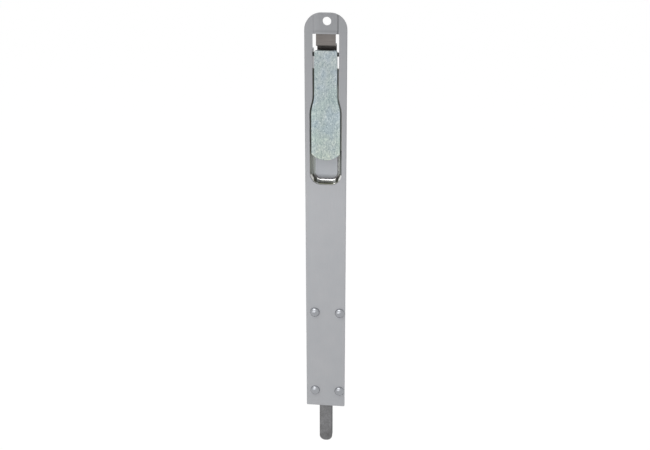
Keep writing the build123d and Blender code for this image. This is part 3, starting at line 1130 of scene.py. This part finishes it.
@dataclass
class Cup:
    """Bright pressed cup behind the window, with rounded bends and a flat floor."""

    shop: Shop
    neck_half: float = 9.4 * MM
    grip_half: float = 11.6 * MM
    top: float = 115.4 * MM
    bottom: float = 30.1 * MM
    end_radius: float = 8.2 * MM
    rim: float = 2.2 * MM
    sheet: float = 1.0 * MM
    wall_run: float = 2.4 * MM
    lip_radius: float = 1.25 * MM
    foot_radius: float = 2.2 * MM
    neck_foot_radius: float = 0.25 * MM
    notch_half: float = 6.8 * MM
    notch_end: float = 81.5 * MM
    notch_corner: float = 2.0 * MM
    screw_level: float = 63.0 * MM
    screw_radius: float = 2.75 * MM
    edge: float = 0.12 * MM
    sharp: float = 40.0
    back_lean: float = 0.05
    shoulder_points: int = 24
    corner_points: int = 28
    bend_points: int = 12
    notch_points: int = 8
    hole_points: int = 48

    def outline(self) -> tuple[np.ndarray, np.ndarray]:
        """Right half of the window's outline, from the top down and round to the middle.

        The side is straight, eases outwards over the shoulder, turns by a quarter circle and
        ends with a short straight at the bottom.

        Returns:
            Points (x, z), and the outward normals there.
        """
        shoulder = SHOULDER.levels(self.shoulder_points)
        z = np.concatenate([[self.top], shoulder, [self.bottom + self.end_radius]])
        x = self.neck_half + (self.grip_half - self.neck_half) * SHOULDER.ease(z)
        turn = np.linspace(0, math.pi / 2, self.corner_points)[1:]
        flat = self.grip_half - self.end_radius
        x = np.concatenate([x, flat + self.end_radius * np.cos(turn), [0.0]])
        z = np.concatenate([z, self.bottom + self.end_radius * (1 - np.sin(turn)), [self.bottom]])
        points = np.stack([x, z], axis=-1)
        step = np.diff(points, axis=0)
        step = step / np.linalg.norm(step, axis=1, keepdims=True)
        along = np.concatenate([step[:1], step[:-1] + step[1:], step[-1:]])
        normal = np.stack([-along[:, 1], along[:, 0]], axis=-1)
        return points, normal / np.linalg.norm(normal, axis=1, keepdims=True)

    def profile(
        self, depth: float, back: float, foot_radius: np.ndarray
    ) -> tuple[np.ndarray, np.ndarray]:
        """Section of the sheet from the rim's edge to the floor.

        It is a flat rim, a round lip, a straight slope and a round foot that ends level. A bend
        of radius r over the slope's angle starts r times half the angle's tangent off its corner.
        Points further back lie on the same bend centres, with a smaller lip and a larger foot.

        Args:
            depth: Depth of the floor behind the rim.
            back: How far behind the front of the sheet the points lie.
            foot_radius: Radius of the foot, one row for each section.

        Returns:
            Inset from the outline and depth, each as one row for each section.
        """
        slope = math.atan2(depth, self.wall_run)
        reach = math.tan(slope / 2)
        turn = np.linspace(0, slope, self.bend_points)
        lip = self.lip_radius - back
        foot = foot_radius + back
        one = np.ones_like(foot_radius)
        inset = [-self.rim * one, one * (-self.lip_radius * reach + lip * np.sin(turn))]
        inset.append(self.wall_run + foot_radius * reach - foot * np.sin(turn[::-1]))
        deep = [back * one, one * (self.lip_radius - lip * np.cos(turn))]
        deep.append(depth - foot_radius + foot * np.cos(turn[::-1]))
        return np.concatenate(inset, axis=1), np.concatenate(deep, axis=1)

    def wall(self, depth: float, back: float) -> np.ndarray:
        """The profile carried round the whole outline, with a tight foot beside the notch.

        Args:
            depth: Depth of the floor.
            back: How far behind the front of the sheet the points lie.

        Returns:
            Points as a grid, one row for each point of the outline.
        """
        points, normal = self.outline()
        ease = SHOULDER.ease(points[:, 1:])
        foot = self.neck_foot_radius + (self.foot_radius - self.neck_foot_radius) * ease
        inset, deep = self.profile(depth, back, foot)
        x = points[:, :1] - normal[:, :1] * inset
        z = points[:, 1:] - normal[:, 1:] * inset
        right = np.stack([x, deep, z], axis=-1)
        return np.concatenate([right, right[-2::-1] * (-1, 1, 1)])

    def notch(self) -> np.ndarray:
        """Notch in the floor: down the left side, two quarter rounds, and up the right side.

        Returns:
            Points (x, z) in order.
        """
        turn = np.linspace(0, math.pi / 2, self.notch_points)
        x = self.notch_corner - self.notch_half - self.notch_corner * np.cos(turn)
        z = self.notch_end + self.notch_corner - self.notch_corner * np.sin(turn)
        left = np.concatenate([[(-self.notch_half, self.top)], np.stack([x, z], axis=-1)])
        return np.concatenate([left, left[::-1] * (-1, 1)])

    def hole(self) -> np.ndarray:
        """Circle of the screw hole.

        Returns:
            Points (x, z) in order.
        """
        turn = np.linspace(0, 2 * math.pi, self.hole_points, endpoint=False)
        circle = np.stack([np.cos(turn), np.sin(turn)], axis=-1)
        return circle * self.screw_radius + (0, self.screw_level)

    def side(self, polygon: bpy.types.MeshPolygon, depth: float) -> CupSide:
        """Which part of the cup a face belongs to.

        Args:
            polygon: The face.
            depth: Depth of the floor.

        Returns:
            The back where the face looks backwards, the floor where it lies level with the
            floor, and else the wall.
        """
        if polygon.normal.y > self.back_lean:
            return CupSide.BACK
        return CupSide.FLOOR if abs(polygon.center.y - depth) < MERGE else CupSide.WALL

    def build(self) -> bpy.types.Object:
        """Build the front of the sheet, its back, and the rims between them.

        Returns:
            The cup piece.
        """
        low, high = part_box("recess_cup")
        depth = high.y - self.sheet - low.y
        front, back = self.wall(depth, 0.0), self.wall(depth, self.sheet)
        rows, columns = front.shape[:2]
        index = np.arange(rows * columns).reshape(rows, columns)
        outline = np.concatenate([front[:, -1, ::2], self.notch()])
        flat = np.concatenate([outline, self.hole()])
        floor = np.stack([flat[:, 0], np.full(len(flat), depth), flat[:, 1]], axis=-1)
        split = len(outline)
        loops = [[Vector(p) for p in loop] for loop in (floor[:split], floor[split:])]
        first = rows * columns
        filled = [np.array(face) + first for face in geometry.tessellate_polygon(loops)]
        notch_rim = np.array([*range(first + rows - 1, first + split), first])
        hole_rim = np.array([*range(first + split, first + len(flat)), first + split])
        points, faces = shell(
            np.concatenate([front.reshape(-1, 3), floor]),
            np.concatenate([back.reshape(-1, 3), floor + (0, self.sheet, 0)]),
            [*grid_faces(rows, columns), *filled],
            [index[:, 0], index[0], index[-1], notch_rim, hole_rim],
        )
        piece = surface("cup", points, faces, self.shop.material(CUP_BRIGHT))
        for finish in (CUP_FLOOR, CUP_BACK):
            piece.data.materials.append(self.shop.material(finish))
        for polygon in piece.data.polygons:
            polygon.material_index = self.side(polygon, depth).value
        soften(piece, self.edge, self.sharp)
        self.shop.settle(piece, Body.FRAME, "recess_cup")
        return piece


@dataclass
class DomeRivets:
    """Dome rivets on the plate's front, turned as smooth heads, with flat tails at the back."""

    shop: Shop
    spacing: float = 19.1 * MM
    side: float = 1.3 * MM
    plate_front: float = -2.0 * MM
    head_radius: float = 3.7 * MM
    head_height: float = 2.5 * MM
    shank_radius: float = 1.6 * MM
    tail_radius: float = 2.4 * MM
    tail_height: float = 1.0 * MM
    dome_power: float = 0.9
    tail_ease: float = 0.3
    turns: int = 72
    head_points: int = 26
    tail_points: int = 6
    sharp: float = 35.0

    def profile(self, back: float) -> np.ndarray:
        """Outline of one rivet as (radius, depth) points from the head's pole to the tail's.

        Over the angle from the pole the head's radius goes with the sine, and its height with
        the cosine to a power just under one, which is a slightly fuller ellipse. The tail is
        a disc with an eased edge.

        Args:
            back: Depth of the tail's end.

        Returns:
            The points in order.
        """
        turn = np.linspace(0, math.pi / 2, self.head_points)
        head_r = self.head_radius * np.sin(turn)
        head_y = self.plate_front - self.head_height * np.cos(turn) ** self.dome_power
        tail_start = back - self.tail_height
        ease = self.tail_height * self.tail_ease
        bend = np.linspace(0, math.pi / 2, self.tail_points)
        tail_r = self.tail_radius - ease + ease * np.cos(bend)
        tail_y = back - ease + ease * np.sin(bend)
        shank = [(self.shank_radius, self.plate_front), (self.shank_radius, tail_start)]
        tail = [(self.tail_radius, tail_start), *zip(tail_r, tail_y), (0.0, back)]
        return np.array([*zip(head_r, head_y), *shank, *tail])

    def build(self) -> bpy.types.Object:
        """Turn the outline about each rivet's own axis.

        Returns:
            The four rivets as one piece.
        """
        _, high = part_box("guide_rivets")
        outline = self.profile(high.y)
        angle = np.linspace(0, 2 * math.pi, self.turns, endpoint=False)
        radius, depth = outline[:, :1], outline[:, 1:]
        ring_x = radius * np.cos(angle)
        ring_z = radius * np.sin(angle)
        ring_y = np.broadcast_to(depth, ring_x.shape)
        one = np.stack([ring_x, ring_y, ring_z], axis=-1).reshape(-1, 3)
        guides = [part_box(node) for node in ("upper_guide", "lower_guide")]
        levels = [sum(corner.z for corner in box) / 2 for box in guides]
        places = [(self.side + s * self.spacing / 2, z) for z in levels for s in (-1, 1)]
        points = np.concatenate([one + (x, 0, z) for x, z in places])
        quads = grid_faces(len(outline), self.turns, closed=True)
        faces = np.concatenate([quads + i * len(one) for i in range(len(places))])
        piece = surface("dome_rivets", points, faces, self.shop.material(RIVET_ZINC))
        piece.data.set_sharp_from_angle(angle=math.radians(self.sharp))
        self.shop.settle(piece, Body.FRAME, "guide_rivets")
        return piece


@dataclass
class Plate:
    """The face plate and what is fixed to its back."""

    shop: Shop
    plate_edge: float = 0.25 * MM
    pivot_edge: float = 0.08 * MM

    def build(self) -> None:
        """Dress the plate, the leaf spring, the pivot lugs and pin, and the guide blocks."""
        frame = Body.FRAME
        self.shop.dress("plate", PLATE_COAT, frame, edge=self.plate_edge)
        self.shop.dress("leaf_spring", SPRING_BROWN, frame)
        for node in ("pivot_lug_left", "pivot_lug_right"):
            self.shop.dress(node, WORKS_ZINC, frame)
        self.shop.dress("pivot_pin", PIVOT_BLACKED, frame, edge=self.pivot_edge)
        for node in ("upper_guide", "lower_guide"):
            self.shop.dress(node, GUIDE_STEEL, frame)


@dataclass
class Works:
    """What turns the lever's swing into the bolt's travel."""

    shop: Shop
    pin_edge: float = 0.06 * MM
    bolt_edge: float = 0.2 * MM

    def build(self) -> None:
        """Dress the crank bracket, the pins, the links with their spacers, and the strap."""
        self.shop.dress("crank_bracket", WORKS_ZINC, Body.HANDLE)
        self.shop.dress("crank_pin", PIN_STEEL, Body.HANDLE, edge=self.pin_edge)
        for node in ("link_left", "link_right"):
            self.shop.dress(node, WORKS_ZINC, Body.LINK)
        for node in ("crank_spacer", "strap_spacer"):
            self.shop.dress(node, PIN_STEEL, Body.LINK, edge=self.pin_edge)
        self.shop.dress("strap_pin", PIN_STEEL, Body.BOLT, edge=self.pin_edge)
        self.shop.dress("drive_strap", WORKS_ZINC, Body.BOLT)
        self.shop.dress("strap_rivets", PIN_STEEL, Body.BOLT, edge=self.pin_edge)
        self.shop.dress("bolt_bar", BOLT_DRAWN, Body.BOLT, edge=self.bolt_edge)


@dataclass(frozen=True)
class Lamp:
    """A soft rectangular lamp that points at the bolt, with its power in watts."""

    name: str
    place: tuple[float, float, float]
    size: tuple[float, float]
    power: float

    def hang(self) -> None:
        """Hang the lamp at its place and turn it to the bolt."""
        data = bpy.data.lights.new(self.name, "AREA")
        data.shape = "RECTANGLE"
        data.size, data.size_y = self.size
        data.energy = self.power
        lamp = stand(self.name, data)
        lamp.location = self.place
        lamp.rotation_mode = "QUATERNION"
        lamp.rotation_quaternion = (-Vector(self.place)).to_track_quat("-Z", "Y")


@dataclass
class Studio:
    """Plain pale floor, even sky and soft lamps."""

    floor_drop: float = 0.16
    floor_size: float = 12.0
    floor_white: float = 0.97
    floor_roughness: float = 0.9
    floor_glow: float = 1.05
    shadow_share: float = 0.08
    ambient: float = 0.38
    lamps: tuple[Lamp, ...] = (
        Lamp("key", place=(-0.5, -0.9, 1.5), size=(1.6, 0.8), power=13.0),
        Lamp("front", place=(-0.15, -0.38, -0.02), size=(0.3, 0.3), power=0.31),
        Lamp("fill", place=(0.05, -0.85, 0.25), size=(0.6, 0.6), power=0.53),
        Lamp("rim", place=(0.2, 0.9, 0.8), size=(0.8, 0.8), power=0.53),
    )

    def build(self) -> None:
        """Lay the floor, set the sky and hang the lamps."""
        self.floor()
        self.sky()
        for lamp in self.lamps:
            lamp.hang()

    def floor(self) -> None:
        """Lay a wide flat floor below the bolt's tip."""
        low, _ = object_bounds()
        size = self.floor_size
        z = low.z - self.floor_drop
        points = [(-size, -size, z), (size, -size, z), (size, size, z), (-size, size, z)]
        mesh = bpy.data.meshes.new("floor")
        mesh.from_pydata(points, [], [(0, 1, 2, 3)])
        mesh.materials.append(self.floor_material())
        stand("floor", mesh)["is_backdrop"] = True

    def floor_material(self) -> bpy.types.Material:
        """Make the floor white to the camera, but for a light shadow.

        Returns:
            The floor's material.
        """
        graph = Graph("floor_white")
        graph.shader.inputs["Base Color"].default_value = (self.floor_white,) * 3 + (1.0,)
        graph.shader.inputs["Roughness"].default_value = self.floor_roughness
        glow = graph.add("ShaderNodeEmission")
        glow.inputs["Strength"].default_value = self.floor_glow
        scale = graph.add("ShaderNodeMath")
        scale.operation = "MULTIPLY"
        scale.inputs[1].default_value = 1 - self.shadow_share
        graph.link(background_rays(graph.tree), scale.inputs[0])
        mix = graph.add("ShaderNodeMixShader")
        graph.link(scale.outputs[0], mix.inputs["Fac"])
        graph.link(graph.shader.outputs["BSDF"], mix.inputs[1])
        graph.link(glow.outputs["Emission"], mix.inputs[2])
        graph.link(mix.outputs["Shader"], graph.tree.nodes["Material Output"].inputs["Surface"])
        return graph.material

    def sky(self) -> None:
        """An even grey sky that looks white to the camera."""
        world = bpy.data.worlds.new("studio")
        world.use_nodes = True
        bpy.context.scene.world = world
        tree = world.node_tree
        light = tree.nodes["Background"]
        light.inputs["Color"].default_value = (1.0, 1.0, 1.0, 1.0)
        light.inputs["Strength"].default_value = self.ambient
        white = tree.nodes.new("ShaderNodeBackground")
        white.inputs["Color"].default_value = (1.0, 1.0, 1.0, 1.0)
        mix = tree.nodes.new("ShaderNodeMixShader")
        tree.links.new(background_rays(tree), mix.inputs["Fac"])
        tree.links.new(light.outputs["Background"], mix.inputs[1])
        tree.links.new(white.outputs["Background"], mix.inputs[2])
        tree.links.new(mix.outputs["Shader"], tree.nodes["World Output"].inputs["Surface"])


def background_rays(tree: bpy.types.NodeTree) -> Socket:
    """Tell the rays that see the white background: camera, glossy and transmission rays.

    Args:
        tree: The node tree of the floor or the sky.

    Returns:
        1 for these rays, and 0 for others: the greatest of their three marks.
    """
    path = tree.nodes.new("ShaderNodeLightPath")
    value = path.outputs["Is Camera Ray"]
    for name in ("Is Glossy Ray", "Is Transmission Ray"):
        top = tree.nodes.new("ShaderNodeMath")
        top.operation = "MAXIMUM"
        tree.links.new(value, top.inputs[0])
        tree.links.new(path.outputs[name], top.inputs[1])
        value = top.outputs[0]
    return value


@dataclass
class PhotoCamera:
    """Camera fitted to the plate's outline in the photograph, which is 650 by 450 pixels.

    Seen from the camera, the plate's top centre lies top_side to the right, top_down down, where
    a minus means up, and top_away ahead. The camera tilts down along the plate and turns a
    little to its left.
    """

    photo_width: int = 650
    focal_pixels: float = 1025.0
    sensor: float = 36.0
    near: float = 0.01
    far: float = 50.0
    tilt: float = math.radians(21.017)
    turn: float = math.radians(6.4)
    top_side: float = 0.43 * MM
    top_down: float = -145.81 * MM
    top_away: float = 704.43 * MM
    plate_top: float = 155.0 * MM
    plate_front: float = -2.0 * MM

    def build(self) -> None:
        """Place the camera.

        The camera's axes are worked out in the plate's own directions: across, down the plate
        and into it. Each comes from the tilt about the picture's level line and the turn about
        the plate's length.
        """
        c, s = math.cos(self.tilt), math.sin(self.tilt)
        down_plate = np.array([0.0, c, s])
        level = np.array([1.0, 0.0, 0.0])
        upright = np.array([0.0, -s, c])
        across = math.cos(self.turn) * level - math.sin(self.turn) * upright
        into = math.sin(self.turn) * level + math.cos(self.turn) * upright
        top = np.array([self.top_side, self.top_down, self.top_away])
        axes = np.array([across, into, -down_plate])
        centre = axes @ -top + (0.0, self.plate_front, self.plate_top)
        right, down, forward = axes.T
        data = bpy.data.cameras.new("photo_camera")
        data.sensor_width = self.sensor
        data.sensor_fit = "HORIZONTAL"
        data.lens = self.focal_pixels / self.photo_width * self.sensor
        data.clip_start, data.clip_end = self.near, self.far
        camera = stand("photo_camera", data)
        turn = Matrix(np.stack([right, -down, -forward], axis=-1).tolist())
        camera.matrix_world = Matrix.Translation(centre.tolist()) @ turn.to_4x4()
        bpy.context.scene.camera = camera


def main() -> None:
    """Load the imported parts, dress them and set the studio."""
    logging.basicConfig(level=logging.INFO, format="%(name)s: %(message)s")
    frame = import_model()
    shop = Shop(frame)
    Plate(shop).build()
    Cup(shop).build()
    DomeRivets(shop).build()
    Lever(shop).build()
    Works(shop).build()
    PhotoCamera().build()
    Studio().build()
    bpy.context.scene.view_settings.view_transform = "Standard"


if __name__ == "__main__":
    main()
